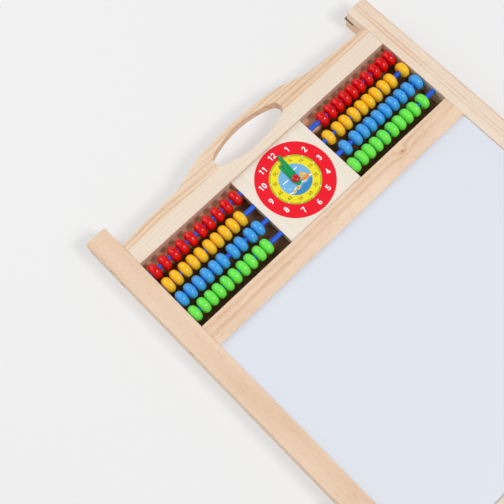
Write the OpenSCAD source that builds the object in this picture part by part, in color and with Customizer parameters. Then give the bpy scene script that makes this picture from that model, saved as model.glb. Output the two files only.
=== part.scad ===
// Double-sided table easel for children, folded flat and lying on its back.
// Millimetres. X runs along the rails, +Y towards the carrying handle, +Z out of the whiteboard.
// The front frame carries an abacus, a toy clock and a whiteboard; the rear frame a blackboard.

/* [Frame] */
// Width over both stiles
overall_w = 440; // [400:1:480]
// Width of a stile, seen from the front
stile_w = 27.5; // [24:0.5:34]
// Length of a stile
stile_l = 640; // [625:5:700]
// Thickness of each frame
frame_t = 15; // [14:0.5:20]
// Gap between the two folded frames, which the hinge leaves fill
frame_gap = 2.2; // [2:0.1:3]
// Height of the stile tops above the shoulders of the top rail
horn_l = 29; // [20:1:40]
// Roundness of the stile tops beside the hinge barrels
horn_r = 4.8; // [4.8:0.1:6]
// Height of the mid rail and of the two bottom rails
rail_w = 28; // [24:1:34]

/* [Handle rail] */
// Height of the top rail at its shoulders
top_rail_w = 30; // [28:1:36]
// Height of the arch above the shoulders
arch_h = 21; // [16:1:26]
// Width of the hand hole
grip_w = 103; // [90:1:110]
// Height of the hand hole
grip_h = 33; // [28:1:34]
// Centre of the hand hole below the shoulders
grip_drop = 1.8; // [0:0.1:4]

/* [Boards] */
// Height of the whiteboard between its rails
board_h = 316; // [280:1:330]
// Thickness of both writing boards
board_t = 3; // [2.5:0.5:4]
// Depth of a writing face below the face of its frame
board_recess = 3.5; // [2:0.5:5]
// How far a board reaches into its grooves
tongue = 5; // [4:0.5:6]
// Height of the rear top rail
rear_rail_w = 28.5; // [24:0.5:32]
// Top of the rear top rail below the shoulders of the front one
rear_rail_drop = 20; // [18.5:0.5:24]

/* [Abacus] */
// Height of the two bead bays
bay_h = 99; // [96:1:104]
// Diameter of a rod
rod_d = 6; // [5:0.5:6]
// Distance between rods
row_pitch = 21.9; // [20.5:0.1:23]
// Depth of the rods below the front face
rod_depth = 7; // [6.8:0.1:7]
// Outer diameter of a bead
bead_d = 19.6; // [18:0.1:19.6]
// Thickness of a bead along its rod
bead_t = 11; // [10:0.1:11]
// Diameter of the hole in a bead
bead_hole_d = 7; // [6.8:0.1:7.5]

/* [Clock] */
// Width of the clock panel
panel_w = 109; // [105:1:115]
// Depth of the panel's face below the front face
panel_recess = 3.5; // [3:0.1:3.5]
// Diameter of the printed dial
dial_d = 93; // [80:1:96]
// Diameter of the pin that the hands turn on
clock_pin_d = 4; // [3:0.5:5]

/* [Hinges and stays] */
// Radius of a hinge barrel
barrel_r = 2.2; // [2:0.1:2.2]
// Height of a hinge leaf below the stile tops
leaf_h = 11; // [10:0.5:14]
// Distance from the hinge barrels down to the stay pivots on the rear stiles
pivot_drop = 425; // [420:1:425]
// Distance from the hinge barrels down to the catch studs on the front stiles
stud_drop = 395; // [392:1:398]
// Angle between the frames when the stays hold them open
open_angle = 26; // [24:0.5:26]

/* [Hidden] */
$fn = 64;
eps = 0.01;

// Fits
running = 0.05;          // a pin that turns in its bore
slack = 0.5;             // between pieces that slide past each other

// Levels along Y
y_top = (stile_l - barrel_r) / 2;
y_foot = y_top - stile_l;
y_shoulder = y_top - horn_l;
y_bay_top = y_shoulder - top_rail_w;
y_bay_low = y_bay_top - bay_h;
y_board_top = y_bay_low - rail_w;
y_board_low = y_board_top - board_h;
y_rear_top = y_shoulder - rear_rail_drop;
y_rear_low = y_rear_top - rear_rail_w;
y_bay_mid = (y_bay_top + y_bay_low) / 2;
y_clock = y_bay_mid + 1.2;

// Levels along Z
z_hinge = frame_t + frame_gap / 2;
z_front_back = frame_t + frame_gap;
z_face = z_front_back + frame_t;
z_white = z_face - board_recess;
z_rear_mid = frame_t / 2;
z_front_mid = z_front_back + frame_t / 2;
z_rod = z_face - rod_depth;
z_panel = z_face - panel_recess;
panel_t = frame_t - panel_recess;

// Levels along X
inner_w = overall_w - 2 * stile_w;
x_in = inner_w / 2;
x_out = overall_w / 2;

// Fasteners of the frame
screw_d = 4;
screw_head_d = 7.6;
screw_l = 44;
sink_d = 8;
sink_l = 7;
dowel_d = 6;
dowel_l = 30;
dowel_off = 8;
front_screw_drop = 14;   // from the shoulders down to the upper screws
rear_screw_drop = 7;     // from the top of the rear top rail down to its screws
seat = 0.5;              // spare depth at the bottom of a blind hole

// Rods and beads
rod_seat = 8;
rows = 4;
row_lift = 0.8;
bead_round = bead_t / 2;
row_colours = ["#d0101a", "#fdb92a", "#4f9fe2", "#69dc4b"];
row_names = ["red", "yellow", "blue", "green"];
// Free rod beside each bead: first the stretch left of the first bead, then the gap after each one
left_gaps = [
    [1.5, 3.5, 3, 1, 2.5, 3.5, 1, 3, 2.5, 3],
    [1.5, 1, 2, 1, 1, 2, 0.5, 1, 1, 1],
    [1.5, 1.5, 1.5, 1.5, 1.5, 0.5, 4.5, 1, 3.5, 1],
    [0.5, 2, 0.5, 0.5, 1, 1, 1.5, 0.5, 2, 0.5]];
right_gaps = [
    [15.5, 2, 1, 1, 0.5, 0.5, 2, 2, 1, 1],
    [4.5, 4, 1, 2.5, 1.5, 0.5, 1, 2, 1, 9],
    [9, 5.5, 1, 1, 1.5, 1, 1.5, 2, 1.5, 3],
    [0.5, 1.5, 0.5, 1, 1.5, 2.5, 1, 1, 1, 3.5]];
beads = len(left_gaps[0]);
// How many beads of each row belong to its left-hand pack
left_split = [5, 5, 6, 6];
right_split = [6, 9, 1, 9];

// Clock
hand_t = 0.8;
dial_t = 0.3;
layer_gap = 0.3;
z_hour = z_panel + dial_t + layer_gap;
z_minute = z_hour + hand_t + layer_gap;
z_knob = z_minute + hand_t + layer_gap;
knob_d = 9.2;
knob_h = 2.8;
washer_t = 1;
washer_d = 10;
rivet_h = 1;
rivet_d = 6;
minute_l = 34;
hour_l = 24;
minute_tilt = -10;
hour_tilt = 4.5;
boss_d = 10.4;

// Hinges: three barrel segments, the outer two on the front leaf
leaf_t = 0.8;
leaf_gap = (frame_gap - 2 * leaf_t) / 2;
leaf_w = stile_w - 3;
x_leaf = x_in + leaf_w / 2 - 0.6;
hinge_pin_r = 1;
segment_w = leaf_w / 3;
segment_gap = 0.3;
leaf_screw_d = 2.2;
leaf_screw_l = 9;
leaf_screw_x = 8;
leaf_screw_rise = 3.4;   // from a leaf's lower edge
pin_proud = 0.4;         // how far a hinge pin stands out of its barrel
y_leaf_screw = y_top - leaf_h + leaf_screw_rise;

// Stays: flat bars that pivot on the rear stiles and hook over studs on the front stiles
stay_w = 11;
stay_t = 1.5;
stay_hook = 6.5;
washer_gap = 0.4;        // beside a stay, on both its sides
stay_pin_d = 4;
stay_head_d = 9;
stay_head_t = 2;
stay_pin_l = 14;
y_pivot = y_top - pivot_drop;
y_stud = y_top - stud_drop;
// Where the stud stands, seen from the barrel, once the front frame has opened
stud_y_open = -stud_drop * cos(open_angle) + (z_front_mid - z_hinge) * sin(open_angle);
stud_z_open = stud_drop * sin(open_angle) + (z_front_mid - z_hinge) * cos(open_angle);
stay_l = norm([stud_y_open + pivot_drop, stud_z_open - (z_rear_mid - z_hinge)]);

pine = "#ecd9c0";
warm_pine = "#e6cba9";
steel = "#b9bcc0";

function bead_start(gaps, i) = i == 0 ? gaps[0] : bead_start(gaps, i - 1) + bead_t + gaps[i];
function pack_names(side) =
    [for (r = [0 : rows - 1]) for (p = ["left", "right"]) str(side, "_bay_", row_names[r], "_beads_", p)];

// A box between two corners
module box(low, high) {
    translate(low) cube(high - low);
}

// A cylinder along X from x0 to x1
module bar_x(x0, x1, y, z, d) {
    translate([min(x0, x1), y, z]) rotate([0, 90, 0]) cylinder(h = abs(x1 - x0), d = d);
}

// The centre lines of the rails: [screw, dowel] levels along Y
front_joints = [
    [y_shoulder - front_screw_drop, y_shoulder - front_screw_drop - dowel_off],
    [y_bay_low - rail_w / 2, y_bay_low - rail_w / 2 + dowel_off],
    [y_board_low - rail_w / 2, y_board_low - rail_w / 2 - dowel_off]];
rear_joints = [
    [y_rear_top - rear_screw_drop, y_rear_top - rear_screw_drop - dowel_off],
    [y_board_low - rail_w / 2, y_board_low - rail_w / 2 - dowel_off]];

// ---------- frame fasteners ----------

// The holes that one screw and one dowel leave in a stile or rail; side is -1 or +1
module joint_holes(joint, z, side) {
    bar_x(side * (x_out + eps), side * (x_out - sink_l), joint[0], z, sink_d);
    bar_x(side * (x_out - sink_l + eps), side * (x_out - sink_l - screw_l - seat), joint[0], z, screw_d);
    bar_x(side * (x_in - dowel_l / 2 - seat), side * (x_in + dowel_l / 2 + seat), joint[1], z, dowel_d);
}

module frame_screw(joint, z, side) {
    head_h = (screw_head_d - screw_d) / 2;
    x_head = x_out - sink_l;
    bar_x(side * (x_head + eps), side * (x_head - screw_l), joint[0], z, screw_d);
    translate([side * x_head, joint[0], z]) rotate([0, side * 90, 0])
        cylinder(h = head_h, d1 = screw_d, d2 = screw_head_d);
}

module frame_screws(joints, z) {
    color("#8a8072") for (joint = joints) for (side = [-1, 1]) frame_screw(joint, z, side);
}

module dowels(joints, z) {
    color(warm_pine) for (joint = joints) for (side = [-1, 1])
        bar_x(side * (x_in - dowel_l / 2), side * (x_in + dowel_l / 2), joint[1], z, dowel_d);
}

// ---------- stiles and rails ----------

// Side outline of a stile, in Y and Z, with its top rounded towards the hinge
module stile_outline(z_low, z_high, hinge_is_high) {
    z_round = hinge_is_high ? z_high - horn_r : z_low + horn_r;
    z_square = hinge_is_high ? z_low : z_high;
    union() {
        translate([y_foot, z_low]) square([stile_l - horn_r, z_high - z_low]);
        translate([y_top - horn_r - eps, min(z_round, z_square)])
            square([horn_r + eps, abs(z_round - z_square)]);
        translate([y_top - horn_r, z_round]) circle(r = horn_r);
    }
}

module stile(side, z_low, z_high, hinge_is_high) {
    x_low = side < 0 ? -x_out : x_in;
    translate([x_low, 0, 0]) rotate([90, 0, 90])
        linear_extrude(stile_w) stile_outline(z_low, z_high, hinge_is_high);
}

// The groove in a stile or rail that a board's edge sits in
module board_grooves(y_low, y_high, z_low) {
    box([-x_in - tongue, y_low - tongue, z_low], [x_in + tongue, y_high + tongue, z_low + board_t]);
}

module front_stile(side) {
    color(side < 0 ? warm_pine : pine) difference() {
        stile(side, z_front_back, z_face, false);
        board_grooves(y_board_low, y_board_top, z_white - board_t);
        for (joint = front_joints) joint_holes(joint, z_front_mid, side);
        for (r = [0 : rows - 1]) rod_bore(r);
        bar_x(side * (x_out + eps), side * (x_out - stay_pin_l - seat), y_stud, z_front_mid, stay_pin_d);
        leaf_screw_holes(side, z_front_back, 1);
    }
}

module rear_stile(side) {
    color(pine) difference() {
        stile(side, 0, frame_t, true);
        board_grooves(y_board_low, y_rear_low, board_recess);
        for (joint = rear_joints) joint_holes(joint, z_rear_mid, side);
        bar_x(side * (x_out + eps), side * (x_out - stay_pin_l - seat), y_pivot, z_rear_mid, stay_pin_d);
        leaf_screw_holes(side, frame_t, -1);
    }
}

module front_left_stile() { front_stile(-1); }
module front_right_stile() { front_stile(1); }
module rear_left_stile() { rear_stile(-1); }
module rear_right_stile() { rear_stile(1); }

// Height of the handle rail's upper edge above its shoulders, at a distance from the middle:
// a gentle slope, a steeper ramp, and a flat arch
slope_end = 106;
slope_rise = 5;
arch_end = 56;
arch_bow = 3;
arch_rise = arch_h - arch_bow;
function ramp(t) = (t + t * t * (3 - 2 * t)) / 2;
function crest(a) =
    a > slope_end ? slope_rise * (x_in - a) / (x_in - slope_end)
    : a > arch_end ? slope_rise
        + (arch_rise - slope_rise) * ramp((slope_end - a) / (slope_end - arch_end))
    : arch_h - arch_bow * pow(a / arch_end, 2);

module handle_outline() {
    steps = 48;
    crest_line = [for (i = [0 : steps]) let (x = x_in - i * inner_w / steps)
        [x, y_shoulder + crest(abs(x))]];
    polygon(concat([[-x_in, y_bay_top], [x_in, y_bay_top]], crest_line));
}

// The hand hole: a flat lens with round ends, each end tangent to both of the lens's arcs
module grip_outline() {
    steps = 24;
    end_r = 9;
    reach = grip_w / 2 - end_r;
    lens_r = (pow(reach, 2) + pow(grip_h / 2, 2) - pow(end_r, 2)) / (grip_h - 2 * end_r);
    lean = atan(reach / (lens_r - grip_h / 2));
    half = concat(
        [for (i = [0 : steps]) let (a = lean * (1 - 2 * i / steps))
            [lens_r * sin(a), lens_r * cos(a) - lens_r + grip_h / 2]],
        [for (i = [1 : steps - 1]) let (a = 90 + lean + (180 - 2 * lean) * i / steps)
            [end_r * cos(a) - reach, end_r * sin(a)]]);
    translate([0, y_shoulder - grip_drop])
        polygon(concat(half, [for (p = half) -p]));
}

module handle_rail() {
    color(pine) difference() {
        translate([0, 0, z_front_back]) linear_extrude(frame_t) difference() {
            handle_outline();
            grip_outline();
        }
        for (side = [-1, 1]) joint_holes(front_joints[0], z_front_mid, side);
    }
}

module mid_rail() {
    color(warm_pine) difference() {
        box([-x_in, y_board_top, z_front_back], [x_in, y_bay_low, z_face]);
        board_grooves(y_board_low, y_board_top, z_white - board_t);
        for (side = [-1, 1]) joint_holes(front_joints[1], z_front_mid, side);
    }
}

module front_bottom_rail() {
    color(pine) difference() {
        box([-x_in, y_board_low - rail_w, z_front_back], [x_in, y_board_low, z_face]);
        board_grooves(y_board_low, y_board_top, z_white - board_t);
        for (side = [-1, 1]) joint_holes(front_joints[2], z_front_mid, side);
    }
}

module rear_top_rail() {
    color(warm_pine) difference() {
        box([-x_in, y_rear_low, 0], [x_in, y_rear_top, frame_t]);
        board_grooves(y_board_low, y_rear_low, board_recess);
        for (side = [-1, 1]) joint_holes(rear_joints[0], z_rear_mid, side);
    }
}

module rear_bottom_rail() {
    color(warm_pine) difference() {
        box([-x_in, y_board_low - rail_w, 0], [x_in, y_board_low, frame_t]);
        board_grooves(y_board_low, y_rear_low, board_recess);
        for (side = [-1, 1]) joint_holes(rear_joints[1], z_rear_mid, side);
    }
}

// ---------- writing boards ----------

module whiteboard() {
    color("#dee4ed") board_grooves(y_board_low, y_board_top, z_white - board_t);
}

module blackboard() {
    color("#3b3a38") board_grooves(y_board_low, y_rear_low, board_recess);
}

// ---------- abacus ----------

function row_y(r) = y_bay_mid + row_lift + row_pitch * ((rows - 1) / 2 - r);

// The bores for both rods of a row, through the bay's walls
module rod_bore(r) {
    x_panel = panel_w / 2;
    for (side = [-1, 1])
        bar_x(side * (x_panel - rod_seat - seat), side * (x_in + rod_seat + seat), row_y(r), z_rod, rod_d);
}

module rod(side, r) {
    x_panel = panel_w / 2;
    color("#2f5fc8")
        bar_x(side * (x_panel - rod_seat), side * (x_in + rod_seat), row_y(r), z_rod, rod_d);
}

// One bead, with its left side at x: a ring whose belly is half a circle
module bead(x, r) {
    steps = 10;
    belly = [for (i = [0 : steps]) let (a = -90 + 180 * i / steps)
        [bead_d / 2 - bead_round + bead_round * cos(a), bead_round * sin(a)]];
    translate([x + bead_round, row_y(r), z_rod]) rotate([0, 90, 0]) rotate_extrude()
        polygon(concat([[bead_hole_d / 2, -bead_round]], belly, [[bead_hole_d / 2, bead_round]]));
}

// The beads of one row from number first to number last
module bead_pack(side, r, pack) {
    gaps = side < 0 ? left_gaps[r] : right_gaps[r];
    split = side < 0 ? left_split[r] : right_split[r];
    x_bay = side < 0 ? -x_in : panel_w / 2;
    first = pack == "left" ? 0 : split;
    last = pack == "left" ? split - 1 : beads - 1;
    color(row_colours[r]) for (i = [first : last]) bead(x_bay + bead_start(gaps, i), r);
}

// ---------- toy clock ----------

module clock_panel() {
    color("#f3ece0") difference() {
        box([-panel_w / 2, y_bay_low, z_front_back], [panel_w / 2, y_bay_top, z_panel]);
        for (r = [0 : rows - 1]) rod_bore(r);
        translate([0, y_clock, z_front_back - eps]) cylinder(h = panel_t + 2 * eps, d = clock_pin_d);
    }
}

module clock_dial() {
    color("#ee2233") difference() {
        translate([0, y_clock, z_panel]) cylinder(h = dial_t, d = dial_d, $fn = 128);
        translate([0, y_clock, z_panel - eps]) cylinder(h = 1, d = clock_pin_d);
    }
}

// Pin with a riveted end behind the washer
module clock_pin() {
    z_low = z_front_back - washer_t;
    color(steel) {
        translate([0, y_clock, z_low]) cylinder(h = z_knob + knob_h / 2 - z_low, d = clock_pin_d);
        translate([0, y_clock, z_low - rivet_h]) cylinder(h = rivet_h, d = rivet_d);
    }
}

module clock_washer() {
    color(steel) translate([0, y_clock, z_front_back - washer_t]) difference() {
        cylinder(h = washer_t, d = washer_d);
        translate([0, 0, -eps]) cylinder(h = washer_t + 2 * eps, d = clock_pin_d);
    }
}

// A dome: the cap of a ball, with a blind hole for the pin
module clock_knob() {
    ball_r = (pow(knob_d / 2, 2) + knob_h * knob_h) / (2 * knob_h);
    color("#c01818") translate([0, y_clock, z_knob]) difference() {
        intersection() {
            translate([0, 0, knob_h - ball_r]) sphere(r = ball_r);
            cylinder(h = knob_h + 1, d = knob_d + 1);
        }
        translate([0, 0, -eps]) cylinder(h = knob_h / 2 + eps, d = clock_pin_d);
    }
}

// The round end of a hand, from one side to the other; up is +1 at its tip and -1 at its tail
function hand_end(reach, r, up) =
    [for (i = [0 : 12]) let (a = up * 15 * i) [up * r * cos(a), up * (reach - r) + r * sin(a)]];

// A hand with a long taper, a short tail and a round boss on the pin
module hand(length, root_w, tip_w, tail, tilt, z) {
    color("#149a5c") translate([0, y_clock, z]) rotate([0, 0, tilt]) difference() {
        linear_extrude(hand_t) union() {
            circle(d = boss_d);
            polygon(concat([[root_w / 2, 0]], hand_end(length, tip_w / 2, 1),
                [[-root_w / 2, 0]], hand_end(tail, tip_w / 2, -1)));
        }
        translate([0, 0, -eps]) cylinder(h = hand_t + 2 * eps, d = clock_pin_d + 2 * running);
    }
}

module hour_hand() { hand(hour_l, 9, 4.6, 8.4, hour_tilt, z_hour); }
module minute_hand() { hand(minute_l, 9.6, 3.8, 9, minute_tilt, z_minute); }

// ---------- hinges ----------

module leaf_screw_holes(side, z, up) {
    for (dx = [-1, 1]) translate([side * x_leaf + dx * leaf_screw_x, y_leaf_screw, z - eps * up])
        rotate([up < 0 ? 180 : 0, 0, 0]) cylinder(h = leaf_screw_l, d = leaf_screw_d);
}

// Segment number of the barrel, 0 to 2, as a cylinder of radius r, shortened by the running gap
module segment(side, i, r, trim) {
    x0 = side * x_leaf - leaf_w / 2 + i * segment_w;
    bar_x(x0 + trim, x0 + segment_w - trim, y_top, z_hinge, 2 * r);
}

// One leaf: a plate on its stile, and the barrel segments that belong to it
module hinge_leaf(side, up, segments, others) {
    z_plate = up > 0 ? z_hinge + leaf_gap : z_hinge - leaf_gap - leaf_t;
    bore_r = hinge_pin_r + (up > 0 ? running : 0);
    x_low = side * x_leaf - leaf_w / 2;
    color(steel) difference() {
        union() {
            box([x_low, y_top - leaf_h, z_plate], [x_low + leaf_w, y_top, z_plate + leaf_t]);
            for (i = segments) segment(side, i, barrel_r, segment_gap / 2);
        }
        // clearance round the other leaf's barrel segments
        for (i = others) translate([x_low + i * segment_w - segment_gap / 2, y_top - barrel_r - slack, 0])
            cube([segment_w + segment_gap, 3 * barrel_r, 3 * frame_t]);
        bar_x(x_low - 1, x_low + leaf_w + 1, y_top, z_hinge, 2 * bore_r);
        for (dx = [-1, 1]) translate([side * x_leaf + dx * leaf_screw_x, y_leaf_screw, z_plate - eps])
            cylinder(h = leaf_t + 2 * eps, d = leaf_screw_d);
    }
}

module hinge_front_leaf_left() { hinge_leaf(-1, 1, [0, 2], [1]); }
module hinge_front_leaf_right() { hinge_leaf(1, 1, [0, 2], [1]); }
module hinge_rear_leaf_left() { hinge_leaf(-1, -1, [1], [0, 2]); }
module hinge_rear_leaf_right() { hinge_leaf(1, -1, [1], [0, 2]); }

module hinge_pins() {
    color(steel) for (side = [-1, 1])
        bar_x(side * x_leaf - leaf_w / 2 - pin_proud, side * x_leaf + leaf_w / 2 + pin_proud,
            y_top, z_hinge, 2 * hinge_pin_r);
}

// Screws whose flat tops end flush with the leaf
module leaf_screws(up) {
    z_plate_face = z_hinge + up * leaf_gap;
    length = leaf_t + leaf_screw_l - seat;
    color(steel) for (side = [-1, 1]) for (dx = [-1, 1])
        translate([side * x_leaf + dx * leaf_screw_x, y_leaf_screw, z_plate_face])
            rotate([up < 0 ? 180 : 0, 0, 0]) cylinder(h = length, d = leaf_screw_d);
}

module hinge_front_screws() { leaf_screws(1); }
module hinge_rear_screws() { leaf_screws(-1); }

// ---------- stays ----------

// A screw with a pan head that holds a stay, or catches its hook, beside a stile
module stay_pin(side, y, z) {
    x_head = x_out + 2 * washer_gap + stay_t;
    bar_x(side * (x_out - stay_pin_l), side * (x_head + eps), y, z, stay_pin_d);
    bar_x(side * x_head, side * (x_head + stay_head_t), y, z, stay_head_d);
}

module stay_pivot_screws() {
    color(steel) for (side = [-1, 1]) stay_pin(side, y_pivot, z_rear_mid);
}

module stay_studs() {
    color(steel) for (side = [-1, 1]) stay_pin(side, y_stud, z_front_mid);
}

// Outline of a stay in Y and Z: a bar with round ends and a slot that opens on its upper edge
module stay_outline() {
    slot_w = stay_pin_d + 2 * slack;
    translate([y_pivot, z_rear_mid]) difference() {
        union() {
            circle(d = stay_w);
            translate([-stay_l, -stay_w / 2]) square([stay_l, stay_w]);
            translate([-stay_l, 0]) circle(r = stay_hook);
        }
        translate([-stay_l, 0]) circle(d = slot_w);
        translate([-stay_l - slot_w / 2, 0]) square([slot_w, stay_w]);
        circle(d = stay_pin_d + 2 * running);
    }
}

module stay(side) {
    x_low = side < 0 ? -x_out - washer_gap - stay_t : x_out + washer_gap;
    color(steel) translate([x_low, 0, 0]) rotate([90, 0, 90]) linear_extrude(stay_t) stay_outline();
}

module left_stay() { stay(-1); }
module right_stay() { stay(1); }

// ---------- the assembly ----------

front_left_stile();
front_right_stile();
handle_rail();
mid_rail();
front_bottom_rail();
whiteboard();
clock_panel();
clock_dial();
clock_pin();
clock_knob();
clock_washer();
hour_hand();
minute_hand();
for (r = [0 : rows - 1]) rod(-1, r);
for (r = [0 : rows - 1]) rod(1, r);
for (r = [0 : rows - 1]) for (p = ["left", "right"])
    bead_pack(-1, r, p);
for (r = [0 : rows - 1]) for (p = ["left", "right"])
    bead_pack(1, r, p);
frame_screws(front_joints, z_front_mid);  // front_frame_screws
dowels(front_joints, z_front_mid);  // front_dowels
rear_left_stile();
rear_right_stile();
rear_top_rail();
rear_bottom_rail();
blackboard();
frame_screws(rear_joints, z_rear_mid);  // rear_frame_screws
dowels(rear_joints, z_rear_mid);  // rear_dowels
hinge_front_leaf_left();
hinge_front_leaf_right();
hinge_rear_leaf_left();
hinge_rear_leaf_right();
hinge_pins();
hinge_front_screws();
hinge_rear_screws();
left_stay();
right_stay();
stay_pivot_screws();
stay_studs();
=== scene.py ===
"""Kids easel, folded flat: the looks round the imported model, in metres, in the row frame.

X runs along the rails, +Y towards the carrying handle, +Z out of the whiteboard.
"""

import math
import random

import bmesh
import bpy
from mathutils import Matrix, Vector
from mathutils.geometry import delaunay_2d_cdt


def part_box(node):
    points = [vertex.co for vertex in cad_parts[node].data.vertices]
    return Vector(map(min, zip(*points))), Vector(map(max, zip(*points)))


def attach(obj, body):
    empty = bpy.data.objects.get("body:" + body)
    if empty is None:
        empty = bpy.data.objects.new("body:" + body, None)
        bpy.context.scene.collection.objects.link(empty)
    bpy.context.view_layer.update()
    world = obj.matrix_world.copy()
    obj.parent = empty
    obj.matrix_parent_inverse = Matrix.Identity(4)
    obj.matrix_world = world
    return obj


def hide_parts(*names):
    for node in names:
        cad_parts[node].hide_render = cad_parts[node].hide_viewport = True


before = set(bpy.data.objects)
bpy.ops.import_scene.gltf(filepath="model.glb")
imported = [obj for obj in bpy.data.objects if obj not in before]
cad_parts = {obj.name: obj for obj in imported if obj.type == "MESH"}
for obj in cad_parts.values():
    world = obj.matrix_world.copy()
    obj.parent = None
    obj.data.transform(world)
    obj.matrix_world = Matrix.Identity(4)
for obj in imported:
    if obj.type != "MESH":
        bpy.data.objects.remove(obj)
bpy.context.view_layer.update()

MM = 0.001
X, Y, Z = 0, 1, 2
LOW, HIGH = 0, 1
QUARTER_TURN = [math.radians(angle) for angle in (0, 22.5, 45, 67.5, 90)]   # steps round an eased edge

# ---------- camera ----------

CAMERA_AZIMUTH = -40.0
CAMERA_ELEVATION = 72.09
CAMERA_ROLL = -4.34
CAMERA_DISTANCE = 1.149
CAMERA_TARGET = Vector((-0.0947, 0.1842, 0.0287))
LENS = 74.49
SENSOR = 36.0


def direction(azimuth, elevation):
    """Unit vector from the object towards a place seen at that azimuth and elevation, in degrees."""
    a, e = math.radians(azimuth), math.radians(elevation)
    return Vector((math.sin(a) * math.cos(e), -math.cos(a) * math.cos(e), math.sin(e)))


def add_camera():
    data = bpy.data.cameras.new("camera")
    data.lens = LENS
    data.sensor_width = SENSOR
    data.clip_start = 0.05
    data.clip_end = 50
    camera = bpy.data.objects.new("camera", data)
    bpy.context.scene.collection.objects.link(camera)
    back = direction(CAMERA_AZIMUTH, CAMERA_ELEVATION)
    turn = (-back).to_track_quat("-Z", "Y").to_matrix()
    roll = Matrix.Rotation(math.radians(CAMERA_ROLL), 3, "Z")
    place = Matrix.Translation(CAMERA_TARGET + back * CAMERA_DISTANCE)
    camera.matrix_world = place @ (turn @ roll).to_4x4()
    bpy.context.scene.camera = camera


# ---------- node helpers ----------


class Shader:
    """A material's node tree, built by short calls that return output sockets."""

    def __init__(self, name):
        self.material = bpy.data.materials.new(name)
        self.material.use_nodes = True
        self.tree = self.material.node_tree
        self.bsdf = self.tree.nodes["Principled BSDF"]

    def node(self, kind, inputs=(), **settings):
        made = self.tree.nodes.new(kind)
        for key, value in settings.items():
            setattr(made, key, value)
        for key, value in dict(inputs).items():
            self.feed(made.inputs[key], value)
        return made

    def feed(self, socket, value):
        if isinstance(value, bpy.types.NodeSocket):
            self.tree.links.new(value, socket)
        else:
            socket.default_value = value

    def spot(self, kind="Object"):
        """Position on the object, in metres, or with Normal the direction that the surface looks in."""
        return self.node("ShaderNodeTexCoord").outputs[kind]

    def place(self, kind="Object"):
        """The same as separate X, Y and Z."""
        return self.node("ShaderNodeSeparateXYZ", {0: self.spot(kind)}).outputs[:3]

    def vector(self, x, y, z):
        return self.node("ShaderNodeCombineXYZ", {0: x, 1: y, 2: z}).outputs[0]

    def stretched(self, place, per_x, per_y, per_z):
        """A position with its own scale along each axis, for marks that are drawn out."""
        return self.vector(*(self.times(along, per) for along, per in zip(place, (per_x, per_y, per_z))))

    def math(self, operation, a, b=0.0, clamp=False):
        return self.node("ShaderNodeMath", {0: a, 1: b}, operation=operation, use_clamp=clamp).outputs[0]

    def times(self, a, b):
        return self.math("MULTIPLY", a, b)

    def plus(self, a, b, clamp=False):
        return self.math("ADD", a, b, clamp)

    def minus(self, a, b):
        return self.math("SUBTRACT", a, b)

    def noise(self, vector, scale=1.0, detail=2.0, roughness=0.5):
        inputs = {"Vector": vector, "Scale": scale, "Detail": detail, "Roughness": roughness}
        return self.node("ShaderNodeTexNoise", inputs).outputs[0]

    def remap(self, value, low, high, to_low=0.0, to_high=1.0, smooth=False):
        kind = "SMOOTHSTEP" if smooth else "LINEAR"
        inputs = {0: value, 1: low, 2: high, 3: to_low, 4: to_high}
        return self.node("ShaderNodeMapRange", inputs, interpolation_type=kind).outputs[0]

    def mix(self, share, a, b, blend="MIX"):
        made = self.node("ShaderNodeMix", data_type="RGBA", blend_type=blend)
        colours = [s for s in made.inputs if s.type == "RGBA"]
        self.feed(made.inputs[0], share)
        self.feed(colours[0], a if isinstance(a, bpy.types.NodeSocket) else (*a, 1))
        self.feed(colours[1], b if isinstance(b, bpy.types.NodeSocket) else (*b, 1))
        return next(s for s in made.outputs if s.type == "RGBA")

    def bump(self, height, distance, strength=1.0):
        inputs = {"Height": height, "Distance": distance, "Strength": strength}
        self.feed(self.bsdf.inputs["Normal"], self.node("ShaderNodeBump", inputs).outputs[0])

    def surface(self, colour, roughness, specular=0.5, **inputs):
        """Sets the shader's own inputs, and gives back the material."""
        inputs.update(Base_Color=colour, Roughness=roughness, Specular_IOR_Level=specular)
        for key, value in inputs.items():
            self.feed(self.bsdf.inputs[key.replace("_", " ")], value)
        return self.material


def srgb(*screen):
    """Linear colour from screen values of 0 to 255."""
    shares = [value / 255 for value in screen]
    return tuple(c / 12.92 if c <= 0.04045 else ((c + 0.055) / 1.055) ** 2.4 for c in shares)


def darker(colour, share):
    return tuple(c * share for c in colour)


# ---------- mesh helpers ----------


def placed(axis, u, v, h):
    """A point with its height h along axis and u, v along the two axes that follow it."""
    point = [0.0, 0.0, 0.0]
    point[axis] = h
    point[(axis + 1) % 3] = u
    point[(axis + 2) % 3] = v
    return Vector(point)


def finish_mesh(mesh, name, sharp=40.0):
    """Turns a bmesh into an object with smooth faces and edges sharper than an angle kept sharp."""
    bmesh.ops.recalc_face_normals(mesh, faces=mesh.faces)
    for face in mesh.faces:
        face.smooth = True
    for edge in mesh.edges:
        if len(edge.link_faces) == 2 and edge.calc_face_angle() > math.radians(sharp):
            edge.smooth = False
    data = bpy.data.meshes.new(name)
    mesh.to_mesh(data)
    mesh.free()
    piece = bpy.data.objects.new(name, data)
    bpy.context.scene.collection.objects.link(piece)
    return piece


def add_piece(mesh, name, body, material, replaces=(), sharp=40.0, weighted=False):
    piece = finish_mesh(mesh, name, sharp)
    for each in material if isinstance(material, (list, tuple)) else [material]:
        piece.data.materials.append(each)
    if weighted:
        modifier = piece.modifiers.new("flat faces", "WEIGHTED_NORMAL")
        modifier.keep_sharp = True
    if replaces:
        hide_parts(*replaces)
    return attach(piece, body)


def ring(mesh, points):
    return [mesh.verts.new(point) for point in points]


def bridge(mesh, a, b, material=0):
    """Quads between two rings of equally many vertices."""
    for i in range(len(a)):
        j = (i + 1) % len(a)
        face = mesh.faces.new((a[i], a[j], b[j], b[i]))
        face.material_index = material


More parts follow.
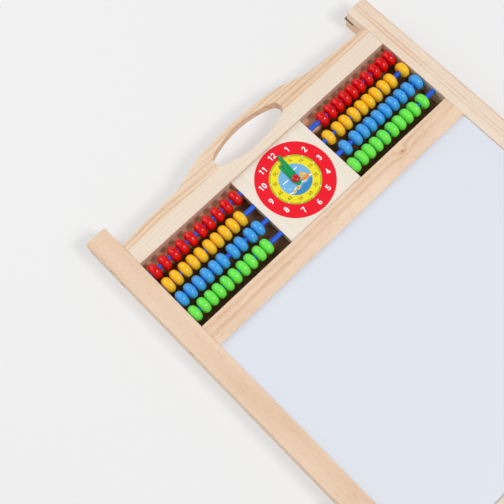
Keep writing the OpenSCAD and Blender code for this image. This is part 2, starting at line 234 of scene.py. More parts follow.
def lathe(mesh, profile, centre, axis, segments):
    """Turns a profile of (radius, height) points round an axis; a radius of 0 closes it to one point."""
    rings = []
    for radius, height in profile:
        if radius < 1e-9:
            rings.append(ring(mesh, [centre + placed(axis, 0, 0, height)]))
            continue
        angles = [2 * math.pi * i / segments for i in range(segments)]
        around = [placed(axis, radius * math.cos(a), radius * math.sin(a), height) for a in angles]
        rings.append(ring(mesh, [centre + point for point in around]))
    for a, b in zip(rings, rings[1:]):
        if len(a) == 1 or len(b) == 1:
            tip, rim = (a[0], b) if len(a) == 1 else (b[0], a)
            for i in range(segments):
                mesh.faces.new((rim[i], rim[(i + 1) % segments], tip))
        else:
            bridge(mesh, a, b)


def face_loops(node, axis, end):
    """Outlines of a CAD node's flat face at its low or high end along axis, as (u, v) points."""
    mesh = bmesh.new()
    mesh.from_mesh(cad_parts[node].data)
    bmesh.ops.remove_doubles(mesh, verts=mesh.verts, dist=1e-6)
    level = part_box(node)[end][axis]
    flat = {f for f in mesh.faces if all(abs(v.co[axis] - level) < 1e-6 for v in f.verts)}
    after = {}
    for face in flat:
        for loop in face.loops:
            if sum(other in flat for other in loop.edge.link_faces) == 1:
                after[loop.vert.index] = loop.link_loop_next.vert.index
    mesh.verts.ensure_lookup_table()
    loops = []
    while after:
        start = next(iter(after))
        chain = [start]
        while after.get(chain[-1]) is not None:
            chain.append(after.pop(chain[-1]))
        co = [mesh.verts[i].co for i in chain[:-1]]
        loops.append(straightened([(p[(axis + 1) % 3], p[(axis + 2) % 3]) for p in co]))
    mesh.free()
    return sorted(loops, key=lambda points: -abs(area(points)))


def area(points):
    """Signed area of an outline, positive when it runs anticlockwise."""
    pairs = zip(points, points[1:] + points[:1])
    return sum(a[0] * b[1] - b[0] * a[1] for a, b in pairs) / 2


def turns(points):
    """Each point of an outline with the directions of travel before it and after it."""
    for i, p in enumerate(points):
        p = Vector(p)
        into = (p - Vector(points[i - 1])).normalized()
        out = (Vector(points[(i + 1) % len(points)]) - p).normalized()
        yield p, into, out


def straightened(points):
    """Drops the points of an outline that lie on a straight stretch."""
    return [tuple(p) for p, into, out in turns(points) if into.angle(out, 0) > math.radians(0.2)]


def rounded(points, radius):
    """Rounds the right-angled corners of an anticlockwise outline."""
    made = []
    for p, into, out in turns(points):
        if into.angle(out) < math.radians(60):
            made.append(tuple(p))
            continue
        centre = p - into * radius + out * radius
        for t in QUARTER_TURN:
            made.append(tuple(centre - out * radius * math.cos(t) + into * radius * math.sin(t)))
    return made


def inset(points, distance):
    """Moves an outline into its material, which lies to the left of its direction of travel."""
    made = []
    for p, into, out in turns(points):
        n1, n2 = Vector((-into.y, into.x)), Vector((-out.y, out.x))
        made.append(tuple(p + (n1 + n2) * (distance / (1 + n1.dot(n2)))))
    return made


def circle(centre, radius, count=32):
    """A clockwise circle, for a hole."""
    angles = [-2 * math.pi * i / count for i in range(count)]
    return [(centre[0] + radius * math.cos(a), centre[1] + radius * math.sin(a)) for a in angles]


POCKET_RIM = 0.25 * MM


def slab(outline, axis, low, high, ease, holes=(), pockets=(), corner=None, mesh=None):
    """A plate along axis between two levels, with its rims eased by a radius.

    Holes are outlines that go right through. Pockets are (outline, end, depth) with flat bottoms.
    """
    mesh = bmesh.new() if mesh is None else mesh
    outer = outline if area(outline) > 0 else outline[::-1]
    if corner:
        outer = rounded(outer, corner)
    through = [outer] + [hole if area(hole) < 0 else hole[::-1] for hole in holes]

    def wall(loop, levels):
        """Rings at each (distance inwards, height), joined into a wall."""
        rings = [ring(mesh, [placed(axis, u, v, h) for u, v in inset(loop, away)]) for away, h in levels]
        for a, b in zip(rings, rings[1:]):
            bridge(mesh, a, b)
        return rings[0], rings[-1]

    rims = {LOW: [], HIGH: []}
    for loop in through:
        levels = [(ease * (1 - math.sin(t)), high - ease * (1 - math.cos(t))) for t in QUARTER_TURN]
        levels += [(away, low + high - level) for away, level in reversed(levels)]
        top, bottom = wall(loop, levels)
        rims[HIGH].append(top)
        rims[LOW].append(bottom)
    for loop, end, depth in pockets:
        level, into = (high, -1) if end == HIGH else (low, 1)
        levels = [(POCKET_RIM, level), (0, level + into * POCKET_RIM), (0, level + into * depth)]
        mouth, base = wall(loop, levels)
        mesh.faces.new(base)
        rims[end].append(mouth)
    for end in (LOW, HIGH):
        if len(rims[end]) == 1:
            mesh.faces.new(rims[end][0])
            continue
        edges = []
        for loop in rims[end]:
            edges += [mesh.edges.get((loop[i - 1], loop[i])) for i in range(len(loop))]
        bmesh.ops.triangle_fill(mesh, use_beauty=True, use_dissolve=False, edges=edges)
    return mesh


# ---------- wood ----------


LATE_PEAK = 0.72   # where the dark late wood lies between one ring and the next, from 0 to 1


def pine(
    name, along, pith, ring_gap, tones, contrast, seed,
    wobble=1.0, blur=1.0, knot=None, glue=None, painted_underside_shade=None,
):
    """Lacquered softwood cut from a log whose axis runs almost along the piece.

    along is the grain's axis, pith the log's centre across the piece, as (across, depth) from the
    row's origin, ring_gap the distance between growth rings in mm, and tones the light and dark wood.
    A small blur gives crisp rings. A knot has a place, a size and colours. glue is the level of a
    glued joint, with the tones of the wood below it. The last argument is a painted shade: a warm
    colour that multiplies the faces that look towards the feet.
    """
    s = Shader(name)
    place = s.place()
    across_axis = X if along == Y else Y
    run, across, depth = place[along], place[across_axis], place[Z]

    def drawn(per_run, per_across, salt=0.0):
        """Position drawn out along the grain; salt gives each use its own pattern."""
        level = s.plus(s.times(depth, per_across), seed + salt)
        return s.vector(s.times(run, per_run), s.times(across, per_across), level)

    def centred(value):
        return s.minus(value, 0.5)

    # slow wander of the grain, much longer along the piece than across it
    wander = centred(s.noise(drawn(5.0, 14.0), 1.0, 2.0, 0.45))
    ripple = centred(s.noise(drawn(26.0, 55.0, 7.3), 1.0, 2.0, 0.5))
    shift = s.plus(s.times(wander, 0.022 * wobble), s.times(ripple, 0.0024 * wobble))
    off_across = s.plus(s.minus(across, pith[0]), shift)
    off_depth = s.minus(depth, pith[1])
    squares = s.plus(s.math("POWER", off_across, 2.0), s.math("POWER", off_depth, 2.0))
    radius = s.math("SQRT", squares)
    if knot:
        sides = zip((run, across), knot["at"], knot["size"])
        shares = [s.times(s.minus(side, middle), 1 / size) for side, middle, size in sides]
        apart = s.vector(*shares, 0.0)
        reach = s.node("ShaderNodeVectorMath", {0: apart}, operation="LENGTH").outputs["Value"]
        swell = s.math("POWER", 2.718, s.times(s.math("POWER", reach, 2.0), -0.35))
        radius = s.plus(radius, s.times(swell, knot["swell"]))

    # each ring rises to a line of late wood and drops back; some rings are much stronger than others
    count = s.math("DIVIDE", radius, ring_gap * MM)
    uneven = s.times(centred(s.noise(s.vector(count, seed, 0.0), 0.45, 1.0)), 1.6)
    count = s.plus(count, uneven)
    phase = s.math("FRACT", count)
    rise = s.remap(phase, LATE_PEAK - 0.62 * blur, LATE_PEAK, 0.0, 1.0, smooth=True)
    fall = s.remap(phase, LATE_PEAK, LATE_PEAK + 0.26 * blur, 1.0, 0.0, smooth=True)
    late = s.times(rise, fall)
    strong = s.noise(s.vector(s.math("FLOOR", count), seed, 3.0), 3.7, 0.0)
    late = s.times(late, s.remap(strong, 0.3, 0.7, 0.12, 1.0))
    fade = s.remap(s.noise(drawn(11.0, 30.0, 2.1), 1.0, 1.0), 0.3, 0.6, 0.35, 1.0)
    late = s.times(late, fade)

    # clouds of tone, short lens-shaped flecks, fine fibres and pores, all drawn out along the grain
    fibre = s.noise(drawn(24.0, 1500.0), 1.0, 3.0, 0.6)
    amount = s.times(late, contrast)
    marks = (
        (s.noise(drawn(7.0, 42.0, 4.4), 1.0, 2.0, 0.5), 0.3, 0.7, 0.32),
        (s.noise(drawn(150.0, 620.0, 1.7), 1.0, 1.0), 0.53, 0.71, 0.22),
        (fibre, 0.3, 0.7, 0.12),
        (s.noise(drawn(120.0, 2100.0), 1.0, 0.0), 0.68, 0.80, 0.12),
    )
    for tone, low, high, weight in marks:
        amount = s.plus(amount, s.remap(tone, low, high, 0.0, weight, smooth=True))
    colour = s.mix(s.math("MINIMUM", amount, 1.0), *tones)
    if glue:
        level, lower_tones = glue
        bowed = s.plus(across, s.times(wander, 0.008))
        line = s.remap(s.math("SINE", s.times(bowed, 1250.0)), 0.5, 1.0, 0.0, 0.55, smooth=True)
        other_marks = s.times(s.minus(amount, late), 0.5)
        lower = s.mix(s.plus(s.times(line, fade), other_marks, clamp=True), *lower_tones)
        colour = s.mix(s.remap(across, level - 0.3 * MM, level + 0.3 * MM), lower, colour)
    if knot:
        heart = s.remap(reach, 0.25, 0.62, 1.0, 0.0, smooth=True)
        rim_in = s.remap(reach, 0.35, 0.7, 0.0, 1.0, smooth=True)
        rim_out = s.remap(reach, 0.7, 1.3, 1.0, 0.0, smooth=True)
        rim = s.times(rim_in, rim_out)
        colour = s.mix(s.times(rim, 0.55), colour, knot["halo"])
        colour = s.mix(s.times(heart, 0.85), colour, knot["heart"])
    # painted shade: the faces that look towards the feet are darkened and warmed
    if painted_underside_shade:
        colour = s.mix(s.remap(s.place("Normal")[Y], -0.9, -0.5, 1.0, 0.0), colour, painted_underside_shade, "MULTIPLY")
    grain_height = s.plus(s.times(late, 0.5), s.times(fibre, 0.5))
    s.bump(grain_height, 0.03 * MM, 0.4)
    rough = s.remap(late, 0.0, 1.0, 0.5, 0.42)
    return s.surface(colour, rough, 0.3)


GENTLE_BEND = math.radians(25)


def smoothed(points, passes):
    """Adds points on the gentle stretches of an outline, on a smooth curve through its own points."""
    for _ in range(passes):
        made = []
        count = len(points)
        near = [Vector(p) for p in points]
        bend = [(near[i] - near[i - 1]).angle(near[(i + 1) % count] - near[i]) for i in range(count)]
        for i in range(count):
            a, b, c, d = near[i - 1], near[i], near[(i + 1) % count], near[(i + 2) % count]
            made.append(tuple(b))
            curved = max(bend[i], bend[(i + 1) % count]) < GENTLE_BEND
            even = max((b - a).length, (d - c).length) < 2.5 * (c - b).length < 40 * MM
            if curved and even:
                made.append(tuple((b + c) * 0.5625 - (a + d) * 0.0625))
        points = made
    return points


PALE_PINE = (srgb(236, 221, 204), srgb(220, 182, 150))
STRIPED_PINE = (srgb(239, 224, 207), srgb(224, 186, 152))
WARM_PINE = (srgb(237, 211, 184), srgb(214, 172, 138))
MID_PINE = (srgb(243, 218, 192), srgb(214, 172, 138))
HANDLE_PINE = (srgb(239, 216, 190), srgb(215, 174, 138))
HANDLE_LOWER_PINE = (srgb(237, 223, 205), srgb(226, 200, 172))
# painted light: the rear top rail's wood is paler and redder, standing in for the red light that the
# beads throw onto it
BEAD_BOUNCE_PAINTED_PINE = (srgb(246, 198, 164), srgb(220, 166, 132))
GLUE_DROP = 9.5 * MM     # from the handle rail's shoulder down to the glued joint in it
SHOULDER = 30 * MM       # from the handle rail's lower edge up to its shoulder
SINK_RADIUS = 3.0 * MM   # a hole wider than this in a stile's outer side is a screw's counterbore
SINK_DEPTH = 7.0 * MM


def circles(loops, least):
    """Centre and radius of each round outline that is wider than least."""
    found = []
    for loop in loops:
        u, v = [p[0] for p in loop], [p[1] for p in loop]
        centre = ((min(u) + max(u)) / 2, (min(v) + max(v)) / 2)
        radius = (max(u) - min(u)) / 2
        if radius > least:
            found.append((centre, radius))
    return found


def add_stile(node, body, material):
    low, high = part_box(node)
    outer = HIGH if low.x > 0 else LOW
    loops = face_loops(node, X, outer)
    pockets = [(circle(c, r), outer, SINK_DEPTH) for c, r in circles(loops[1:], SINK_RADIUS)]
    mesh = slab(loops[0], X, low.x, high.x, 0.9 * MM, pockets=pockets, corner=1.2 * MM)
    add_piece(mesh, node.replace("_stile", "_post"), body, material, [node], weighted=True)


def add_rail(node, body, material):
    low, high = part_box(node)
    loops = face_loops(node, Z, HIGH)
    mesh = slab(loops[0], Z, low.z, high.z, 0.6 * MM)
    add_piece(mesh, node + "_board", body, material, [node], weighted=True)


def add_handle_rail(material):
    low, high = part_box("handle_rail")
    edge, hand_hole = face_loops("handle_rail", Z, HIGH)[:2]
    mesh = slab(smoothed(edge, 2), Z, low.z, high.z, 1.0 * MM, holes=[smoothed(hand_hole, 1)])
    add_piece(mesh, "handle_rail_board", "front_frame", material, ["handle_rail"], weighted=True)


def add_frames():
    rail_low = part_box("handle_rail")[LOW]
    mid_low, mid_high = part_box("mid_rail")
    front, rear = "front_frame", "rear_frame"
    left = pine("left_post_pine", Y, (-0.205, -0.060), 4.6, WARM_PINE, 0.36, 1.7)
    right = pine(
        "right_post_pine", Y, (0.110, 0.020), 5.6, STRIPED_PINE, 1.6, 4.2, wobble=0.12, blur=0.95,
    )
    rear_left = pine(
        "rear_left_post_pine", Y, (-0.290, -0.035), 3.8, PALE_PINE, 0.7, 8.1, wobble=0.5, blur=0.6,
    )
    rear_right = pine("rear_right_post_pine", Y, (0.260, 0.060), 4.3, WARM_PINE, 0.6, 12.6)
    handle = pine(
        "handle_rail_pine", X, (0.345, 0.012), 5.2, HANDLE_PINE, 0.9, 6.4, wobble=0.8, blur=0.55,
        # painted warm shade on the faces that look towards the feet
        glue=(rail_low.y + SHOULDER - GLUE_DROP, HANDLE_LOWER_PINE), painted_underside_shade=(0.86, 0.77, 0.72),
    )
    knot = {
        "at": (0.109, (mid_low.y + mid_high.y) / 2 + 3 * MM),
        "size": (5.0 * MM, 3.2 * MM),
        "swell": 9 * MM,
        "halo": srgb(216, 168, 130),
        "heart": srgb(178, 122, 88),
    }
    mid = pine(
        "mid_rail_pine", X, (mid_low.y - 0.030, 0.0), 8.5, MID_PINE, 0.42, 9.9, wobble=0.6, knot=knot,
    )
    bottom = pine(
        "front_bottom_rail_pine", X, (-0.300, 0.0), 4.4, PALE_PINE, 0.8, 2.2, wobble=0.6, blur=0.5,
    )
    # the rear top rail's colour holds painted red bounce light from the beads
    rear_top = pine("rear_top_rail_pine_painted_bounce", X, (0.180, -0.020), 4.1, BEAD_BOUNCE_PAINTED_PINE, 0.8, 14.3)
    rear_bottom = pine("rear_bottom_rail_pine", X, (-0.150, 0.030), 4.9, WARM_PINE, 0.8, 16.8)
    add_stile("front_left_stile", front, left)
    add_stile("front_right_stile", front, right)
    add_stile("rear_left_stile", rear, rear_left)
    add_stile("rear_right_stile", rear, rear_right)
    add_handle_rail(handle)
    add_rail("mid_rail", front, mid)
    add_rail("front_bottom_rail", front, bottom)
    add_rail("rear_top_rail", rear, rear_top)
    add_rail("rear_bottom_rail", rear, rear_bottom)
    for node in ("front_dowels", "rear_dowels"):
        dress(node, bottom)


def dress(node, material):
    """Gives a CAD node that stays its material."""
    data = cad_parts[node].data
    data.materials.clear()
    data.materials.append(material)


# ---------- writing boards ----------


def whiteboard_material():
    """Smooth white melamine with a faint haze."""
    s = Shader("whiteboard_melamine")
    at = s.spot()
    haze = s.noise(at, 7.0, 3.0, 0.55)
    colour = s.mix(haze, srgb(222, 227, 237), srgb(224, 229, 238))
    rough = s.remap(s.noise(at, 22.0, 3.0, 0.6), 0.3, 0.7, 0.38, 0.44)
    s.bump(s.noise(at, 900.0, 2.0), 0.004 * MM, 0.2)
    return s.surface(colour, rough, 0.3)


def blackboard_material():
    """Chalk paint on the side that faces out, bare brown hardboard on the side that faces in."""
    s = Shader("blackboard_hardboard")
    x, y, z = s.place()
    at = s.spot()
    bare = s.math("GREATER_THAN", z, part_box("blackboard")[HIGH].z - 0.5 * MM)
    flecks = s.noise(at, 700.0, 4.0, 0.7)
    screen = 4200.0   # the press leaves the print of a screen with a pitch of 1.5 mm
    mesh_print = s.times(s.math("SINE", s.times(x, screen)), s.math("SINE", s.times(y, screen)))
    tone = s.plus(s.remap(flecks, 0.3, 0.7), s.times(mesh_print, 0.12), clamp=True)
    brown = s.mix(tone, srgb(112, 78, 52), srgb(150, 112, 78))
    dust_at = s.vector(s.times(x, 6.0), s.times(y, 2.5), 0.0)
    dust = s.remap(s.noise(dust_at, 1.0, 5.0, 0.6), 0.45, 0.75)
    grain = s.noise(at, 2600.0, 1.0)
    black = s.mix(s.times(dust, 0.5), srgb(36, 38, 38), srgb(78, 82, 82))
    colour = s.mix(bare, black, brown)
    relief = s.plus(grain, s.times(s.times(mesh_print, bare), 0.6))
    s.bump(relief, 0.05 * MM, 0.5)
    return s.surface(colour, 0.78, 0.25)


def add_boards():
    dress("whiteboard", whiteboard_material())
    dress("blackboard", blackboard_material())


# ---------- abacus ----------

ROWS = ("red", "yellow", "blue", "green")
BEAD_COLOURS = {
    "red": srgb(219, 0, 2),
    "yellow": srgb(255, 196, 30),
    "blue": srgb(66, 164, 238),
    "green": srgb(113, 238, 80),
}


def coloured(name, colour, scales, dark, drift, rough, gloss, relief, strength):
    """One colour that drifts a little; scales are those of its tone, its sheen and its relief."""
    s = Shader(name)
    tone, sheen, bumps = (s.noise(s.spot(), scale) for scale in scales)
    s.bump(bumps, relief, strength)
    shade = s.mix(s.remap(tone, 0.3, 0.7, 0.0, drift), colour, darker(colour, dark))
    return s.surface(shade, s.remap(sheen, 0.3, 0.7, *rough), gloss)


def paint(name, colour, roughness=0.15, gloss=0.4):
    """Sprayed gloss paint on turned wood, with a little orange peel."""
    rough = (roughness, roughness + 0.06)
    return coloured(name, colour, (60.0, 260.0, 420.0), 0.72, 0.14, rough, gloss, 0.05 * MM, 0.1)


BEAD_STEPS = 18
BEAD_POWER = 0.8       # 1 would be a plain flattened ball, and less is blunter
BEAD_RIM = 0.7 * MM
BORE_GAP = 0.5 * MM    # between a rod and a bead's hole
BEAD_SPREAD = 0.012    # how far turned beads fall short of the full size, as a share


def bead_profile(half, hole_r, outer_r):
    """Side view of half a bead's wall: a flattened ball's, from one rim of its hole to the other."""
    power, rim = BEAD_POWER, BEAD_RIM
    widest = math.acos(((hole_r + rim) / outer_r) ** (1 / power))
    points = []
    for i in range(BEAD_STEPS + 1):
        t = widest * (2 * i / BEAD_STEPS - 1)
        across = math.copysign(abs(math.sin(t)) ** power, t)
        points.append((outer_r * math.cos(t) ** power, half * across / math.sin(widest) ** power))
    inside = [(hole_r + 0.3 * rim, half - 0.1 * rim), (hole_r, half - rim)]
    far = [(r, -h) for r, h in reversed(inside)]
    return far + points + inside + far[:1]


def islands(node):
    """Lowest and highest X of each separate solid in a CAD node, from left to right."""
    mesh = bmesh.new()
    mesh.from_mesh(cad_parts[node].data)
    bmesh.ops.remove_doubles(mesh, verts=mesh.verts, dist=1e-6)
    left = set(mesh.verts)
    spans = []
    while left:
        todo = [left.pop()]
        xs = []
        while todo:
            vert = todo.pop()
            xs.append(vert.co.x)
            for edge in vert.link_edges:
                other = edge.other_vert(vert)
                if other in left:
                    left.remove(other)
                    todo.append(other)
        spans.append((min(xs), max(xs)))
    mesh.free()
    return sorted(spans)


def add_rod(name, node, material):
    """A rod with chamfered ends; gives back its centre and radius."""
    low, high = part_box(node)
    centre = (low + high) / 2
    half, radius = (high.x - low.x) / 2, (high.z - low.z) / 2
    chamfer = 0.5 * MM
    end = [(radius, half - chamfer), (radius - chamfer, half), (0, half)]
    profile = [(r, -h) for r, h in reversed(end)] + end
    mesh = bmesh.new()
    lathe(mesh, profile, centre, X, 32)
    add_piece(mesh, name, "front_frame", material, [node])
    return centre, radius


def add_abacus():
    rng = random.Random(5)
    rod_paint = paint("rod_paint", srgb(40, 94, 212), 0.35, 0.2)
    for row in ROWS:
        bead_paint = paint(row + "_bead_paint", BEAD_COLOURS[row])
        for side in ("left", "right"):
            centre, radius = add_rod(f"{side}_{row}_rod", f"{side}_rod_{row}", rod_paint)
            for end in ("left", "right"):
                node = f"{side}_bay_{row}_beads_{end}"
                mesh = bmesh.new()
                low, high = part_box(node)
                for x_low, x_high in islands(node):
                    outer = (high.z - low.z) / 2 * (1 - rng.uniform(0, BEAD_SPREAD))
                    profile = bead_profile((x_high - x_low) / 2, radius + BORE_GAP, outer)
                    lathe(mesh, profile, Vector(((x_low + x_high) / 2, centre.y, centre.z)), X, 48)
                name = f"{side}_{row}_beads_{end}"
                add_piece(mesh, name, node, bead_paint, [node], sharp=70)


# ---------- toy clock ----------

DIAL_RED = srgb(241, 24, 44)
DIAL_YELLOW = srgb(246, 226, 38)
DIAL_LIME = srgb(172, 200, 34)
DIAL_OLIVE = srgb(112, 120, 22)
NUMERAL_OLIVE = srgb(138, 142, 34)
WHITE = srgb(250, 250, 250)
PICTURE_INKS = {
    "sky": srgb(118, 184, 232),
    "sea": srgb(62, 140, 196),
    "crest": WHITE,
    "sun": srgb(252, 196, 60),
    "hull": srgb(240, 150, 40),
    "shallows": srgb(108, 176, 222),
}
LAYER = 0.04 * MM   # between one layer of ink and the next
PLY = 1.5 * MM
RING_STEPS = 128


def print_ink(name, colour):
    s = Shader(name)
    speckle = s.remap(s.noise(s.spot(), 1800.0, 2.0), 0.35, 0.65, 0.0, 0.10)
    tone = s.mix(speckle, colour, darker(colour, 0.8))
    return s.surface(tone, 0.5, 0.2)


def panel_material():
    """Pale birch plywood: a faint figure on the face, and its plies on the edges."""
    s = Shader("clock_plywood")
    place = x, y, z = s.place()
    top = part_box("clock_panel")[HIGH].z
    figure_at = s.vector(s.times(x, 120.0), s.times(y, 9.0), 2.0)
    figure = s.remap(s.noise(figure_at, 1.0, 4.0, 0.55), 0.35, 0.7)
    flecks = s.remap(s.noise(s.stretched(place, 1500.0, 160.0, 400.0), 1.0, 1.0), 0.60, 0.72)
    amount = s.plus(s.times(figure, 0.45), s.times(flecks, 0.18), clamp=True)
    face = s.mix(amount, srgb(240, 231, 217), srgb(228, 213, 192))
    layer = s.math("DIVIDE", s.minus(top, z), PLY)
    band = s.math("GREATER_THAN", s.math("FRACT", s.times(layer, 0.5)), 0.5)
    line = s.math("LESS_THAN", s.math("FRACT", layer), 0.12)
    edge = s.mix(s.times(band, 0.8), srgb(234, 221, 200), srgb(205, 180, 148))
    edge = s.mix(s.times(line, 0.7), edge, srgb(150, 115, 80))
    level = s.math("GREATER_THAN", s.math("ABSOLUTE", s.place("Normal")[Z]), 0.6)
    s.bump(s.plus(figure, flecks), 0.02 * MM, 0.4)
    return s.surface(s.mix(level, edge, face), 0.5, 0.4)


def flat_ring(mesh, centre, inner, outer, material):
    """A flat ring, or a disc where inner is 0."""
    def around(radius):
        return ring(mesh, [centre + Vector((*p, 0)) for p in circle((0, 0), radius, RING_STEPS)])

    rim = around(outer)
    if inner == 0:
        mesh.faces.new(rim).material_index = material
    else:
        bridge(mesh, around(inner), rim, material)


def flat_shape(mesh, centre, points, material, layer=1):
    """A flat patch of ink, whose outline is in millimetres from the dial's centre."""
    lift = Vector((0, 0, layer * LAYER))
    rim = ring(mesh, [centre + lift + Vector((u * MM, v * MM, 0)) for u, v in points])
    mesh.faces.new(rim).material_index = material


def bow(centre, radii, start, end, steps=14):
    """Points along an ellipse about centre, between two angles in degrees."""
    angles = [math.radians(start + (end - start) * i / steps) for i in range(steps + 1)]
    return [(centre[0] + radii[0] * math.cos(a), centre[1] + radii[1] * math.sin(a)) for a in angles]


# centre lines of plain round-ended digits, one unit high, with the middle of their width at 0
STROKE = 0.172
FOOT, HEAD = STROKE / 2, 1 - STROKE / 2
ADVANCE = 0.68      # from the middle of one digit to the next
SIX = [
    bow((0, FOOT + 0.22), (0.21, 0.22), 0, 360),
    bow((0.14, FOOT + 0.22), (0.35, HEAD - FOOT - 0.22), 180, 96),
]
DIGITS = {
    "0": [bow((0, 0.5), (0.21, 0.5 - FOOT), 0, 360)],
    "1": [[(-0.15, HEAD - 0.15), (0.05, HEAD), (0.05, FOOT)]],
    "2": [bow((0, HEAD - 0.22), (0.20, 0.22), 165, -32) + [(-0.20, FOOT), (0.22, FOOT)]],
    "3": [
        bow((-0.02, HEAD - 0.19), (0.19, 0.19), 150, -90),
        bow((-0.02, FOOT + 0.215), (0.22, 0.215), 90, -150),
    ],
    "4": [[(0.09, FOOT), (0.09, HEAD), (-0.24, 0.32), (0.24, 0.32)]],
    "5": [
        [(0.18, HEAD), (-0.14, HEAD), (-0.17, 0.53)]
        + bow((-0.01, FOOT + 0.23), (0.22, 0.23), 128, -150)
    ],
    "6": SIX,
    "7": [[(-0.20, HEAD), (0.20, HEAD), (-0.05, FOOT)]],
    "8": [
        bow((0, HEAD - 0.185), (0.18, 0.185), 0, 360),
        bow((0, FOOT + 0.22), (0.215, 0.22), 0, 360),
    ],
    "9": [[(-u, 1 - v) for u, v in line] for line in SIX],
}


def rounded_bar(a, b):
    """Outline of a straight stroke between two points, with round ends."""
    lean = math.degrees(math.atan2(b[1] - a[1], b[0] - a[0]))
    radii = (STROKE / 2, STROKE / 2)
    return bow(a, radii, lean + 90, lean + 270, 6) + bow(b, radii, lean - 90, lean + 90, 6)


def numeral(mesh, label, height, spot):
    """A label as flat ink: every stroke a chain of round-ended bars, merged into one outline."""
    bars = []
    for i, digit in enumerate(label):
        shift = (i - (len(label) - 1) / 2) * ADVANCE
        for line in DIGITS[digit]:
            for a, b in zip(line, line[1:]):
                bar = rounded_bar(a, b)
                bars.append([Vector(((u + shift) * height, (v - 0.5) * height)) for u, v in bar])
    corners = [point for bar in bars for point in bar]
    faces, first = [], 0
    for bar in bars:
        faces.append(list(range(first, first + len(bar))))
        first += len(bar)
    co, _, tiles, _, _, sources = delaunay_2d_cdt(corners, [], faces, 1, 1e-8)
    verts = [mesh.verts.new(spot + Vector((p.x, p.y, 0))) for p in co]
    for tile, source in zip(tiles, sources):
        if source:
            mesh.faces.new([verts[i] for i in tile])


def numerals(name, step, radius, height, centre, material):
    """Twelve upright numerals round the dial, which rise by a step, as one flat mesh."""
    mesh = bmesh.new()
    for hour in range(1, 13):
        angle = math.radians(90 - 30 * hour)
        out = Vector((radius * math.cos(angle), radius * math.sin(angle), 0))
        numeral(mesh, str(step * hour), height, centre + out)
    bmesh.ops.delete(mesh, geom=[v for v in mesh.verts if not v.link_faces], context="VERTS")
    face_up(add_piece(mesh, name, "front_frame", material))


def face_up(piece):
    """Turns every face of a flat piece to look along +Z."""
    mesh = bmesh.new()
    mesh.from_mesh(piece.data)
    bmesh.ops.reverse_faces(mesh, faces=[f for f in mesh.faces if f.normal.z < 0])
    mesh.to_mesh(piece.data)
    mesh.free()


def disc(centre, radius):
    steps = 32
    return bow(centre, (radius, radius), 0, 360 - 360 / steps, steps - 1)


def below(points, reach):
    """The part of a disc of that radius under a line of points that runs from its right to its left."""
    line = [(u, v) for u, v in points if math.hypot(u, v) < reach]
    start = math.degrees(math.atan2(line[-1][1], line[-1][0])) % 360
    end = math.degrees(math.atan2(line[0][1], line[0][0])) % 360
    return line + bow((0, 0), (reach, reach), start, end, 24)


WAVE_STEPS = 96
WAVE_HEIGHT = 0.7
WAVE_TURN = 0.62     # radians of the wave's swing for each millimetre
SEA_SLOPE = 0.06


def wave(reach, level):
    """A line of waves from right to left, at a level in millimetres under the dial's centre."""
    spots = [reach * (1 - 2 * i / WAVE_STEPS) for i in range(WAVE_STEPS + 1)]
    return [(u, WAVE_HEIGHT * math.sin(WAVE_TURN * u) + level + SEA_SLOPE * u) for u in spots]


def add_dial_print(centre, picture_r):
    """The printed picture in the middle: a small boat and two buoys on a sea with a white crest.

    Places and sizes are in millimetres from the dial's centre.
    """
    inks = [print_ink("ink_" + name, colour) for name, colour in PICTURE_INKS.items()]
    sky, sea, crest, sun, hull, shallows = range(len(inks))
    mesh = bmesh.new()
    reach = picture_r / MM
    flat_ring(mesh, centre + Vector((0, 0, LAYER)), 0, picture_r, sky)
    for layer, level, ink in ((2, -7.6, crest), (3, -9.2, shallows), (4, -11.4, sea)):
        flat_shape(mesh, centre, below(wave(reach, level), reach * 0.998), ink, layer)

    boat_u, boat_v = 9.8, -5.4
    keel = bow((0, -2.4), (4.2, 0.8), 180, 360, 10)
    deck = [(-6.0, 0.6), (-4.2, -2.4)] + keel + [(4.2, -2.4), (6.4, 1.0)]
    mainsail = [(-0.6, 1.4), (4.6, 1.8), (2.6, 4.6), (-0.6, 9.6)]
    jib = [(-5.2, 1.2), (-3.6, 4.2), (-1.4, 8.4), (-1.4, 1.4)]
    for shape, ink in ((deck, hull), (mainsail, sun), (jib, sun)):
        flat_shape(mesh, centre, [(u + boat_u, v + boat_v) for u, v in shape], ink, 5)
    for u, v, radius in ((-4.9, -9.6, 2.3), (-10.9, -10.2, 1.9)):
        flat_shape(mesh, centre, disc((u, v), radius), sun, 5)
        flat_shape(mesh, centre, disc((u, v + 0.2), radius * 0.4), hull, 6)
    streaks = (
        (8.7, 9.6, 6.4, 0.75), (-10.4, 5.0, 9.0, 0.7), (-17.0, 0.2, 1.5, 0.6), (-12.7, -4.4, 1.4, 0.6),
    )
    for u, v, long, thick in streaks:
        flat_shape(mesh, centre, bow((u, v), (long / 2, thick), 0, 345, 23), crest, 2)
    face_up(add_piece(mesh, "dial_picture", "front_frame", inks))


RED_INNER_R = 30.0 * MM
LIME_INNER_R = 27.9 * MM
PICTURE_R = 19.3 * MM
DIAL_EASE = 0.08 * MM


def add_dial_disc(centre, edge, thickness):
    """A thin disc with its printed rings as separate bands."""
    bands = (("red", DIAL_RED), ("lime", DIAL_LIME), ("yellow", DIAL_YELLOW))
    inks = [print_ink("ink_dial_" + name, colour) for name, colour in bands]
    profile = [(RED_INNER_R, 0), (edge - DIAL_EASE, 0), (edge, -DIAL_EASE)]
    profile += [(edge, -thickness), (0, -thickness)]
    mesh = bmesh.new()
    lathe(mesh, profile, centre, Z, RING_STEPS)
    flat_ring(mesh, centre, LIME_INNER_R, RED_INNER_R, 1)
    flat_ring(mesh, centre, 0, LIME_INNER_R, 2)
    bmesh.ops.remove_doubles(mesh, verts=mesh.verts, dist=1e-7)
    add_piece(mesh, "clock_dial_disc", "front_frame", inks, ["clock_dial"])


